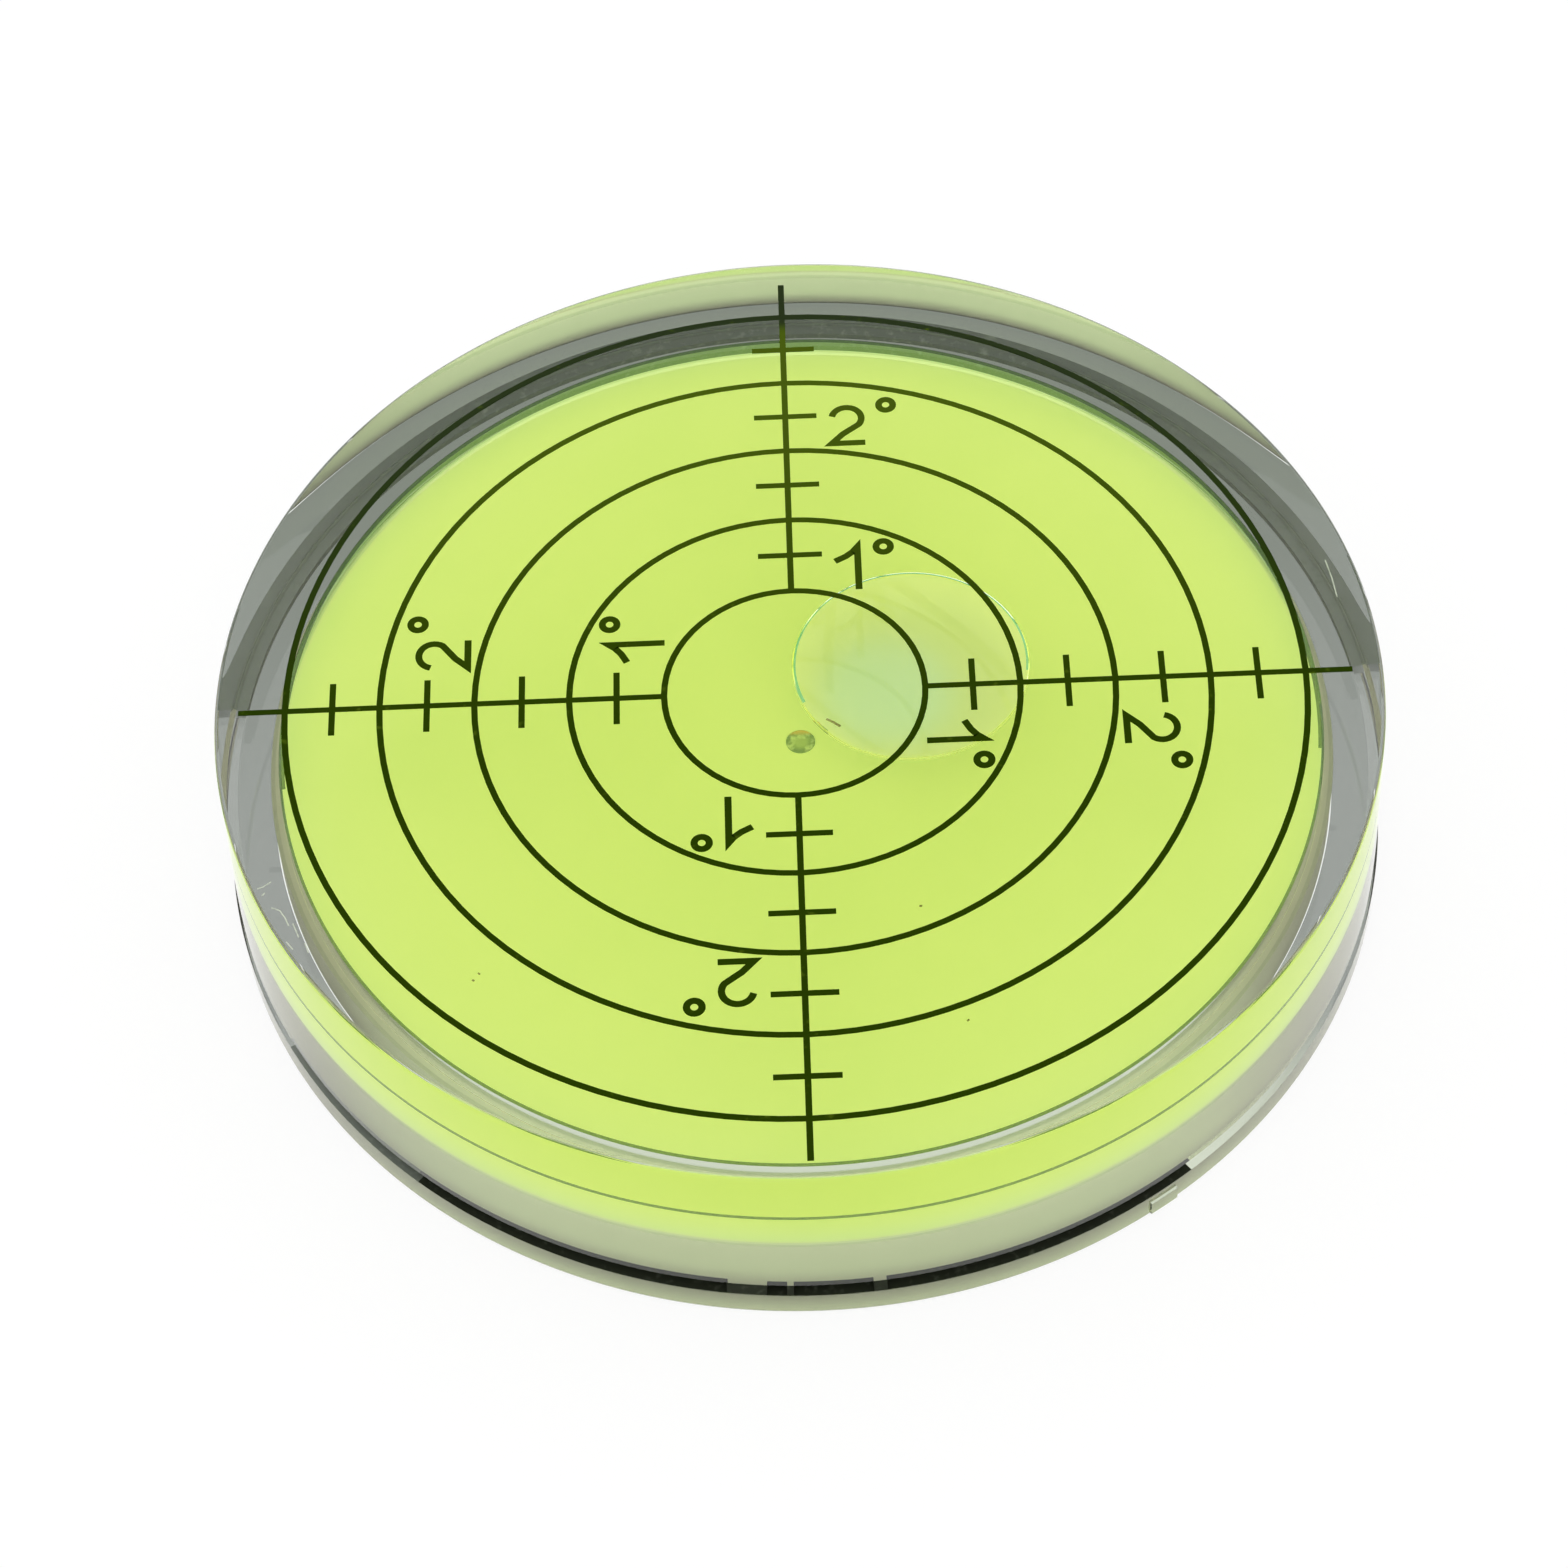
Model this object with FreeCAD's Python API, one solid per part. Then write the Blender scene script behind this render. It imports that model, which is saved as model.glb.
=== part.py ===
"""Disc bullseye level: a clear moulded cup with a printed lens, closed from below by a milky disc.

All lengths are millimetres. The origin is on the resting face, on the axis of the disc. +Z is up
through the lens, +X runs along the right-hand arm of the printed cross, and the front is at -Y.
"""

import FreeCAD, Part
import math
import os

# Housing: the clear cup, whose thick top is the lens
housing_diameter = 66.0
housing_height = 12.7
wall_draft_deg = 1.0
wall_thickness = 3.25
cavity_edge_depth = 2.35
dome_radius = 600.0
lens_edge_chamfer = 0.25
lens_corner_chamfer = 0.6
foot_overhang = 0.07
foot_edge_chamfer = 0.2

# Groove round the housing near its foot, broken where webs of plastic cross it
groove_foot = 1.75
groove_opening = 0.7
groove_depth = 0.8
groove_lip_chamfer = 0.15
web_spans_deg = ((-98.6, -94.8), (-93.0, -92.4), (-84.7, -83.5))

# Trimmed stub on the foot, where the mould was filled
gate_angle_deg = -55.0
gate_width = 1.8
gate_stand_out = 0.15
gate_height = 1.0

# Base disc, set into the foot of the housing against a ledge, and the cement round it
base_thickness = 4.45
ledge_width = 0.6
cement_thickness = 0.05
cement_recess = 0.3
base_edge_chamfer = 0.15

# Filling hole through the base disc, and the plug that seals it
filling_hole_diameter = 1.7
filling_mouth_diameter = 3.4
filling_mouth_depth = 0.85
plug_clearance = 0.02
plug_recess = 0.15

# Dyed liquid and its air bubble, which rides under the dome a little off centre
liquid_clearance = 0.02
bubble_diameter = 13.5
bubble_depth = 1.6
bubble_rim = 0.3
bubble_x = 6.5
bubble_y = 3.6
bubble_film = 0.05

# Scale printed on the lens, a little off the axis of the disc
print_x = -0.2
print_y = -0.3
print_thickness = 0.03
line_width = 0.36
first_ring_radius = 7.37
ring_pitch = 5.36
ring_count = 5
arm_overrun = 2.64
tick_length = 3.7
arm_count = 4

# Levels and radii that follow from the sizes above
lens_top = housing_height
lens_radius = housing_diameter / 2
bore_radius = lens_radius - wall_thickness
wall_draft = math.tan(math.radians(wall_draft_deg))
wall_foot_radius = lens_radius + housing_height * wall_draft
foot_radius = wall_foot_radius + foot_overhang
ledge_height = base_thickness + cement_thickness
lens_edge_underside = ledge_height + cavity_edge_depth
cavity_floor = base_thickness
bore_foot_radius = bore_radius + (lens_edge_underside - ledge_height) * wall_draft
seat_radius = bore_foot_radius + ledge_width
base_radius = seat_radius - cement_thickness
arm_reach = first_ring_radius + (ring_count - 1) * ring_pitch + arm_overrun

AXIS = FreeCAD.Vector(0, 0, 1)
ORIGIN = FreeCAD.Vector(0, 0, 0)
FULL_TURN = 360.0
LEVEL_TOLERANCE = 1e-4


def point(radius, height):
    """Return a point of a half section: radius along +X, height along +Z."""
    return FreeCAD.Vector(radius, 0, height)


def turned(edges, start=0.0, end=FULL_TURN):
    """Revolve a closed half section, given as its edges in order, between two angles."""
    section = Part.Face(Part.Wire([edge.toShape() for edge in edges]))
    body = section.revolve(ORIGIN, AXIS, end - start)
    body.rotate(ORIGIN, AXIS, start)
    return body


def straight_outline(corners):
    """Return the line segments that join the corners into a closed outline."""
    ends = corners[1:] + corners[:1]
    return [Part.LineSegment(start, end) for start, end in zip(corners, ends)]


def circles_at(shape, height):
    """Return the circular edges of the shape that lie flat at the given height."""
    found = []
    for edge in shape.Edges:
        box = edge.BoundBox
        if abs(box.ZMin - height) < LEVEL_TOLERANCE and abs(box.ZMax - height) < LEVEL_TOLERANCE:
            found.append(edge)
    return found


def widest(edges):
    """Return the edge with the largest outline."""
    return max(edges, key=lambda edge: edge.BoundBox.XLength)


def dome_drop(radius):
    """Return how far the dome lies below its crown at a radius."""
    return dome_radius - math.sqrt(dome_radius ** 2 - radius ** 2)


def wall_radius(height):
    """Return the radius of the drafted outer wall at a height."""
    return lens_radius + (lens_top - height) * wall_draft


def cavity(inset, floor):
    """Return the space under the lens as a solid, drawn in from the wall and the dome by inset.

    Its sides follow the drafted bore, and its top is the shallow dome that centres the bubble.
    """
    edge_height = lens_edge_underside - inset
    crown_height = edge_height + dome_drop(bore_radius)
    lower_radius = bore_radius + (edge_height - floor) * wall_draft - inset
    edge_radius = bore_radius - inset
    half_way = point(edge_radius / 2, crown_height - dome_drop(edge_radius / 2))
    floor_centre = point(0, floor)
    floor_corner = point(lower_radius, floor)
    dome_edge = point(edge_radius, crown_height - dome_drop(edge_radius))
    crown = point(0, crown_height)
    body = turned([
        Part.LineSegment(floor_centre, floor_corner),
        Part.LineSegment(floor_corner, dome_edge),
        Part.Arc(dome_edge, half_way, crown),
        Part.LineSegment(crown, floor_centre),
    ])
    corner = widest(circles_at(body, dome_edge.z))
    return body.makeChamfer(lens_corner_chamfer, [corner])


def make_groove():
    """Return the space of the groove, one piece for each stretch between two webs."""
    root_radius = wall_radius(groove_foot) - groove_depth
    clear_radius = foot_radius + groove_depth
    groove_top = groove_foot + groove_opening
    lip_radius = wall_radius(groove_top)
    section = straight_outline([
        point(root_radius, groove_foot),
        point(clear_radius, groove_foot),
        point(clear_radius, groove_top + groove_lip_chamfer),
        point(lip_radius, groove_top + groove_lip_chamfer),
        point(lip_radius - groove_lip_chamfer, groove_top),
        point(root_radius, groove_top),
    ])
    starts = [end for _, end in web_spans_deg]
    ends = [start for start, _ in web_spans_deg[1:]] + [web_spans_deg[0][0] + FULL_TURN]
    return [turned(section, start, end) for start, end in zip(starts, ends)]


def make_gate_mark():
    """Trimmed stub on the rim of the foot."""
    inner = (seat_radius + foot_radius) / 2
    reach = foot_radius + gate_stand_out
    corner = FreeCAD.Vector(inner, -gate_width / 2, foot_edge_chamfer)
    stub = Part.makeBox(reach - inner, gate_width, gate_height, corner)
    stub.rotate(ORIGIN, AXIS, gate_angle_deg)
    return stub


def make_housing():
    """Clear cup: flat printed top, domed cavity, ledge and seat for the base disc, groove."""
    step_height = groove_foot + groove_opening / 2
    blank = turned(straight_outline([
        point(0, 0),
        point(foot_radius, 0),
        point(foot_radius, step_height),
        point(wall_radius(step_height), step_height),
        point(lens_radius, lens_top),
        point(0, lens_top),
    ]))
    blank = blank.makeChamfer(lens_edge_chamfer, [widest(circles_at(blank, lens_top))])
    blank = blank.makeChamfer(foot_edge_chamfer, [widest(circles_at(blank, 0))])
    blank = blank.fuse(make_gate_mark()).removeSplitter()
    seat = Part.makeCylinder(seat_radius, ledge_height)
    return blank.cut([cavity(0, 0), seat] + make_groove())


def filling_bore(clearance, floor, top):
    """Return the filling hole with its wide mouth, drawn in by a clearance, between two levels."""
    hole_radius = filling_hole_diameter / 2 - clearance
    mouth_radius = filling_mouth_diameter / 2 - clearance
    slope = (mouth_radius - hole_radius) / filling_mouth_depth
    return turned(straight_outline([
        point(0, floor),
        point(mouth_radius - slope * floor, floor),
        point(hole_radius, filling_mouth_depth),
        point(hole_radius, top),
        point(0, top),
    ]))


def make_base_plate():
    """Milky disc that closes the cup, with the filling hole at its centre."""
    disc = Part.makeCylinder(base_radius, base_thickness)
    disc = disc.makeChamfer(base_edge_chamfer, [widest(circles_at(disc, 0))])
    return disc.cut(filling_bore(0, 0, base_thickness))


def make_cement():
    """Cement between the base disc and the housing: up its side and in over its top edge."""
    inner_radius = bore_foot_radius + cement_recess
    return turned(straight_outline([
        point(base_radius, cement_recess),
        point(seat_radius, cement_recess),
        point(seat_radius, ledge_height),
        point(inner_radius, ledge_height),
        point(inner_radius, base_thickness),
        point(base_radius, base_thickness),
    ]))


def make_filling_plug():
    """Plug that fills the filling hole from its mouth up to the floor of the cavity."""
    return filling_bore(plug_clearance, plug_recess, cavity_floor - plug_clearance)


def make_bubble():
    """Space of the air bubble: flat above, with an upright rim and a shallow bowl below."""
    rim_radius = bubble_diameter / 2
    centre_distance = math.hypot(bubble_x, bubble_y)
    crown_height = lens_edge_underside + dome_drop(bore_radius)
    outer_drop = dome_drop(centre_distance + rim_radius)
    top = crown_height - outer_drop - liquid_clearance - bubble_film
    bowl_depth = bubble_depth - bubble_rim
    bowl_radius = (rim_radius ** 2 + bowl_depth ** 2) / (2 * bowl_depth)
    bottom = top - bubble_depth
    half_way = rim_radius / 2
    half_height = bottom + bowl_radius - math.sqrt(bowl_radius ** 2 - half_way ** 2)
    body = turned([
        Part.Arc(point(0, bottom), point(half_way, half_height), point(rim_radius, top - bubble_rim)),
        Part.LineSegment(point(rim_radius, top - bubble_rim), point(rim_radius, top)),
        Part.LineSegment(point(rim_radius, top), point(0, top)),
        Part.LineSegment(point(0, top), point(0, bottom)),
    ])
    body.translate(FreeCAD.Vector(bubble_x, bubble_y, 0))
    return body


def make_sight_liquid():
    """Dyed liquid that fills the cavity, all but the bubble."""
    return cavity(liquid_clearance, cavity_floor + liquid_clearance).cut(make_bubble())


def printed_bar(inner, outer, across, height):
    """Return a flat bar of ink along +X from inner to outer, as wide as across."""
    return Part.makeBox(outer - inner, across, height, FreeCAD.Vector(inner, -across / 2, 0))


def make_scale_print():
    """Ink on the lens: five rings, a cross that stops at the first ring, and ticks between rings."""
    half_line = line_width / 2
    inks = []
    for index in range(ring_count):
        radius = first_ring_radius + index * ring_pitch
        disc = Part.makeCylinder(radius + half_line, print_thickness)
        inks.append(disc.cut(Part.makeCylinder(radius - half_line, print_thickness)))
    for turn in range(arm_count):
        marks = [printed_bar(first_ring_radius, arm_reach, line_width, print_thickness)]
        for index in range(ring_count - 1):
            middle = first_ring_radius + (index + 0.5) * ring_pitch
            marks.append(printed_bar(middle - half_line, middle + half_line, tick_length, print_thickness))
        for mark in marks:
            mark.rotate(ORIGIN, AXIS, turn * FULL_TURN / arm_count)
        inks += marks
    ink = inks[0].fuse(inks[1:]).removeSplitter()
    ink.translate(FreeCAD.Vector(print_x, print_y, lens_top))
    return ink


def main():
    """Build every piece and write one STEP file for each."""
    os.makedirs("parts", exist_ok=True)
    pieces = {
        "housing": make_housing(),
        "base_plate": make_base_plate(),
        "cement_joint": make_cement(),
        "filling_plug": make_filling_plug(),
        "sight_liquid": make_sight_liquid(),
        "scale_print": make_scale_print(),
    }
    for name, shape in pieces.items():
        solids = shape.Solids
        print(name, len(solids), "solid,", round(shape.Volume, 2), "mm3, valid:", shape.isValid())
        solid = solids[0] if len(solids) == 1 else shape
        solid.exportStep(f"parts/{name}.step")


main()
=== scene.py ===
"""Looks of a flat round bullseye level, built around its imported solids.

Lengths are metres. The origin is on the resting face, on the axis of the disc. +Z is up through the
lens and +X runs along the right-hand arm of the printed cross. Light has to cross plastic, liquid
and air as it does in the real disc, so the clear pieces are turned again here with smooth walls.
"""

import logging
import math
from dataclasses import dataclass, field
from enum import Enum

import bmesh
import bpy
from bmesh.types import BMEdge, BMesh, BMFace, BMVert
from bpy.types import Material, Mesh, Node, NodeSocket, Object, ShaderNodeTree
from mathutils import Matrix, Vector


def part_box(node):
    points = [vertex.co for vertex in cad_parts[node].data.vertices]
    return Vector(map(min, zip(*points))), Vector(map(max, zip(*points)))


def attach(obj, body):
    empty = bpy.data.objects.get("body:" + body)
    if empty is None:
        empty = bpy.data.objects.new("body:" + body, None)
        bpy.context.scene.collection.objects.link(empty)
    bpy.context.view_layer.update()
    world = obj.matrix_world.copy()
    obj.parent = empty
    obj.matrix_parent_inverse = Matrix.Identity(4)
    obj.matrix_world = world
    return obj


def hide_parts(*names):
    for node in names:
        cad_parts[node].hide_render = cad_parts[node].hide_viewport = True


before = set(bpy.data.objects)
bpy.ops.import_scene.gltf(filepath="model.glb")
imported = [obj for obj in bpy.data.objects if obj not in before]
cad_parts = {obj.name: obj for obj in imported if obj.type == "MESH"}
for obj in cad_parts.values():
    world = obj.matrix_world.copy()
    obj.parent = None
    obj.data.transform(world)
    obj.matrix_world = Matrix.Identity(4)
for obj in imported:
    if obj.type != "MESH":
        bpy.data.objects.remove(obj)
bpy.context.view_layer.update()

MM = 0.001
# Faces round a turn: with fewer, the light that crosses them would show each facet.
TURN_STEPS = 576
# Clear pieces that touched would turn black, so a gap this wide parts them.
FILM_GAP = 0.01 * MM
MERGE_GAP = 0.0005 * MM
# Edges that bend by more than this stay crisp, so long walls keep their own normals.
SMOOTH_DEG = 5.0
SKIN_INDEX = "skin_index"
SKIN_MARK = "skin_mark"
# How often the renderer follows light through clear walls, and from one dull face to another.
CLEAR_BOUNCES = 12
DULL_BOUNCES = 3

LOG = logging.getLogger("bullseye_level")

ACRYLIC = 1.49
LIQUID = 1.36

Color = tuple[float, float, float]
Place = tuple[float, float, float]
Point = tuple[float, float]
Span = tuple[float, float]
Spots = tuple[float, float]
Stroke = tuple[Point, ...]
Value = float | tuple[float, ...]


class Skin(Enum):
    """What a clear face parts, given as the ratio of the refractive indices on its two sides."""

    DRY = ACRYLIC
    WET = ACRYLIC / LIQUID
    BUBBLE = LIQUID
    BONDED = 1.0


class Mark(Enum):
    """Tone of a clear face: plain; painted shade on the cup's foot and a painted glow on the liquid's body;
    or a painted rim, a dark line on the cup and a blue reflection on the bubble.
    """

    PLAIN = 0.0
    PAINTED_SHADE_AND_GLOW = 1.0
    PAINTED_RIM = 2.0


class NodeTree:
    """Small helper that adds and links the nodes of one material, group or world."""

    def __init__(self, tree: bpy.types.NodeTree) -> None:
        """Keep the tree that is to be filled.

        Args:
            tree: The node tree of a material, a group or the world.
        """
        self.tree = tree

    def add(self, kind: str, **settings: object) -> Node:
        """Add a node and set its properties.

        Args:
            kind: Blender's type name of the node.
            **settings: Properties of the node, by name.

        Returns:
            The new node.
        """
        node = self.tree.nodes.new(kind)
        for name, value in settings.items():
            setattr(node, name, value)
        return node

    def link(self, source: NodeSocket, target: NodeSocket) -> None:
        """Link an output to an input."""
        self.tree.links.new(source, target)

    def feed(self, socket: NodeSocket, value: NodeSocket | Value) -> None:
        """Link an output to an input, or set the input to a fixed value."""
        if isinstance(value, NodeSocket):
            self.link(value, socket)
        else:
            socket.default_value = value

    def compute(self, operation: str, *values: NodeSocket | float) -> NodeSocket:
        """Combine values by arithmetic.

        Args:
            operation: Blender's name of the operation.
            *values: Its operands, each fixed or the output of a node.

        Returns:
            The result.
        """
        node = self.add("ShaderNodeMath", operation=operation)
        for socket, value in zip(node.inputs, values):
            self.feed(socket, value)
        return node.outputs[0]

    def mixed(self, share: NodeSocket, first: Color | NodeSocket,
              second: Color | NodeSocket) -> NodeSocket:
        """Mix two colours, each fixed or the output of a node.

        Args:
            share: Output that says how much of the second colour shows.
            first: Colour where the share is 0.
            second: Colour where the share is 1.

        Returns:
            The mixed colour.
        """
        mix = self.add("ShaderNodeMix", data_type="RGBA")
        self.link(share, mix.inputs[0])
        colors = [socket for socket in mix.inputs if socket.type == "RGBA"]
        for socket, color in zip(colors, (first, second)):
            self.feed(socket, color if isinstance(color, NodeSocket) else (*color, 1))
        return next(socket for socket in mix.outputs if socket.type == "RGBA")

    def ramp(self, value: NodeSocket, low: float, high: float) -> NodeSocket:
        """Rise smoothly from 0 to 1 between two values.

        Args:
            value: Output that is read.
            low: Value up to which the result is 0.
            high: Value from which it is 1.

        Returns:
            The result.
        """
        ramp = self.add("ShaderNodeMapRange", interpolation_type="SMOOTHSTEP")
        self.link(value, ramp.inputs["Value"])
        ramp.inputs["From Min"].default_value = low
        ramp.inputs["From Max"].default_value = high
        return ramp.outputs["Result"]

    def of_face(self, name: str) -> NodeSocket:
        """Return the number that each face carries under a name."""
        return self.add("ShaderNodeAttribute", attribute_name=name).outputs["Fac"]

    def absorb(self, output: Node, color: Color, density: float) -> None:
        """Let a clear body take up light.

        Args:
            output: The material's output.
            color: Colour that the body lets through best.
            density: Share of the other light taken up, per metre.
        """
        body = self.add("ShaderNodeVolumeAbsorption")
        body.inputs["Color"].default_value = (*color, 1)
        body.inputs["Density"].default_value = density
        self.link(body.outputs["Volume"], output.inputs["Volume"])


def new_material(name: str, values: dict[str, Value]) -> tuple[Material, NodeTree, Node, Node]:
    """Make a material that holds one Principled shader.

    Args:
        name: The material's name.
        values: Fixed values of the shader, by the names of its inputs.

    Returns:
        The material, its tree, its Principled shader and its output.
    """
    material = bpy.data.materials.new(name)
    material.use_nodes = True
    tree = NodeTree(material.node_tree)
    shader = material.node_tree.nodes["Principled BSDF"]
    output = material.node_tree.nodes["Material Output"]
    for socket, value in values.items():
        shader.inputs[socket].default_value = value
    return material, tree, shader, output


def spot_group() -> ShaderNodeTree:
    """Build the node group that scatters soft specks over a surface.

    Returns:
        A group with the inputs Size, in specks per metre, and Share, and the output Mask.
    """
    detail, rarest_from, full_from = 2.0, 0.75, 0.8
    group = bpy.data.node_groups.new("scattered_spots", "ShaderNodeTree")
    group.interface.new_socket("Size", in_out="INPUT", socket_type="NodeSocketFloat")
    group.interface.new_socket("Share", in_out="INPUT", socket_type="NodeSocketFloat")
    group.interface.new_socket("Mask", in_out="OUTPUT", socket_type="NodeSocketFloat")
    tree = NodeTree(group)
    given = tree.add("NodeGroupInput")
    result = tree.add("NodeGroupOutput")
    place = tree.add("ShaderNodeTexCoord")
    noise = tree.add("ShaderNodeTexNoise")
    noise.inputs["Detail"].default_value = detail
    tree.link(place.outputs["Object"], noise.inputs["Vector"])
    tree.link(given.outputs["Size"], noise.inputs["Scale"])
    edge = tree.compute("SUBTRACT", rarest_from, given.outputs["Share"])
    ramp = tree.add("ShaderNodeMapRange")
    tree.link(noise.outputs["Fac"], ramp.inputs["Value"])
    tree.link(edge, ramp.inputs["From Min"])
    ramp.inputs["From Max"].default_value = full_from
    tree.link(ramp.outputs["Result"], result.inputs["Mask"])
    return group


def place_group() -> ShaderNodeTree:
    """Build the node group that says where a point lies on the disc.

    Returns:
        A group with the outputs Reach, Depth (Y) and Height, in metres, and Depthwise, from -1 at
        the front to 1 at the back.
    """
    group = bpy.data.node_groups.new("place_on_disc", "ShaderNodeTree")
    for name in ("Reach", "Depth", "Height", "Depthwise"):
        group.interface.new_socket(name, in_out="OUTPUT", socket_type="NodeSocketFloat")
    tree = NodeTree(group)
    result = tree.add("NodeGroupOutput")
    place = tree.add("ShaderNodeTexCoord")
    flat = tree.add("ShaderNodeVectorMath", operation="MULTIPLY")
    flat.inputs[1].default_value = (1, 1, 0)
    reach = tree.add("ShaderNodeVectorMath", operation="LENGTH")
    parts = tree.add("ShaderNodeSeparateXYZ")
    tree.link(place.outputs["Object"], flat.inputs[0])
    tree.link(flat.outputs["Vector"], reach.inputs[0])
    tree.link(place.outputs["Object"], parts.inputs["Vector"])
    depthwise = tree.compute("DIVIDE", parts.outputs["Y"], reach.outputs["Value"])
    tree.link(reach.outputs["Value"], result.inputs["Reach"])
    tree.link(parts.outputs["Y"], result.inputs["Depth"])
    tree.link(parts.outputs["Z"], result.inputs["Height"])
    tree.link(depthwise, result.inputs["Depthwise"])
    return group


@dataclass(frozen=True)
class Effects:
    """Node groups that more than one finish uses."""

    spots: ShaderNodeTree = field(default_factory=spot_group)
    place: ShaderNodeTree = field(default_factory=place_group)

    def add_spots(self, tree: NodeTree, size: float, share: float) -> NodeSocket:
        """Add scattered specks to a material.

        Args:
            tree: The material's tree.
            size: Specks per metre.
            share: How much of the surface they take, from 0 to about 0.4.

        Returns:
            The mask of the specks.
        """
        node = tree.add("ShaderNodeGroup", node_tree=self.spots)
        node.inputs["Size"].default_value = size
        node.inputs["Share"].default_value = share
        return node.outputs["Mask"]

    def add_place(self, tree: NodeTree) -> Node:
        """Add the node that says where a point lies on the disc."""
        return tree.add("ShaderNodeGroup", node_tree=self.place)


@dataclass(frozen=True)
class ClearPlastic:
    """Polished moulded acrylic with fine dust. Its foot carries painted shade for the grey, shaded table
    under it, and the cavity's rim a painted dark line.
    """

    effects: Effects
    name: str = "clear_acrylic"
    tint: Color = (0.80, 1.0, 0.74)
    density: float = 6.0
    # Painted shade on the foot: lighter near the front, darkest at the back.
    foot_shade_near: Color = (0.38, 0.45, 0.29)
    foot_shade_side: Color = (0.075, 0.085, 0.075)
    foot_shade_back: Color = (0.038, 0.048, 0.033)
    # Painted shade: a dark line along the edge of the cavity's dome.
    rim: Color = (0.08, 0.13, 0.04)
    back_span: Span = (-0.2, 0.75)
    near_span: Span = (-0.4, -0.8)
    dust: Spots = (2600.0, 0.02)
    dust_roughness: float = 0.12

    def material(self) -> Material:
        """Return the new material."""
        values = {"Transmission Weight": 1.0, "IOR": Skin.DRY.value}
        material, tree, shader, output = new_material(self.name, values)
        tree.link(tree.of_face(SKIN_INDEX), shader.inputs["IOR"])
        where = self.effects.add_place(tree)
        back = tree.ramp(where.outputs["Depthwise"], *self.back_span)
        near = tree.ramp(where.outputs["Depthwise"], *self.near_span)
        # Painted shade of the foot, toned by direction.
        foot = tree.mixed(near, tree.mixed(back, self.foot_shade_side, self.foot_shade_back), self.foot_shade_near)
        mark = tree.of_face(SKIN_MARK)
        clear = tree.mixed(mark, (1, 1, 1), foot)
        # The painted dark line on the rim faces.
        rim = tree.ramp(mark, Mark.PAINTED_SHADE_AND_GLOW.value, Mark.PAINTED_RIM.value)
        tree.link(tree.mixed(rim, clear, self.rim), shader.inputs["Base Color"])
        dust = self.effects.add_spots(tree, *self.dust)
        tree.link(tree.compute("MULTIPLY", dust, self.dust_roughness), shader.inputs["Roughness"])
        tree.absorb(output, self.tint, self.density)
        return material


@dataclass(frozen=True)
class DyedLiquid:
    """Alcohol with a yellow-green dye that takes blue; a painted glow on its body stands in for the dye's
    glow in daylight.

    The bubble's wall has a painted glow, cooler in a patch of painted sky reflection, and its rim a painted
    blue reflection.
    """

    name: str = "dyed_liquid"
    dye: Color = (0.965, 0.98, 0.03)
    density: float = 140.0
    # Painted glow of the liquid's body, for the dye's fluorescence.
    painted_glow: Color = (0.48, 1.0, 0.08)
    painted_glow_strength: float = 0.10
    # Painted blue reflection and glow along the bubble's rim.
    rim: Color = (0.10, 0.50, 1.0)
    painted_rim_glow: Color = (0.0, 0.10, 0.30)
    # Painted glow of the bubble's wall, cooler where a painted sky reflection lies on it.
    painted_bubble_glow: Color = (0.27, 0.15, 0.08)
    painted_sky_glow: Color = (0.13, 0.22, 0.43)
    patch_place: Place = (5.1 * MM, 2.5 * MM, 6.4 * MM)
    patch_reach: Span = (5.0 * MM, 2.6 * MM)

    def material(self) -> Material:
        """Return the new material."""
        values = {"Transmission Weight": 1.0, "Roughness": 0.0, "IOR": Skin.BUBBLE.value,
                  "Emission Strength": self.painted_glow_strength}
        material, tree, shader, output = new_material(self.name, values)
        tree.link(tree.of_face(SKIN_INDEX), shader.inputs["IOR"])
        mark = tree.of_face(SKIN_MARK)
        place = tree.add("ShaderNodeTexCoord")
        away = tree.add("ShaderNodeVectorMath", operation="DISTANCE")
        away.inputs[1].default_value = self.patch_place
        tree.link(place.outputs["Object"], away.inputs[0])
        near = tree.ramp(away.outputs["Value"], *self.patch_reach)
        # Painted sky reflection as a cooler glow in a patch of the bubble's wall.
        painted_sky_patch = tree.mixed(near, self.painted_bubble_glow, self.painted_sky_glow)
        rim = tree.ramp(mark, Mark.PAINTED_SHADE_AND_GLOW.value, Mark.PAINTED_RIM.value)
        painted_body_glow = tree.mixed(mark, painted_sky_patch, self.painted_glow)
        tree.link(tree.mixed(rim, painted_body_glow, self.painted_rim_glow), shader.inputs["Emission Color"])
        tree.link(tree.mixed(rim, (1, 1, 1), self.rim), shader.inputs["Base Color"])
        tree.absorb(output, self.dye, self.density)
        return material


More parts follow.
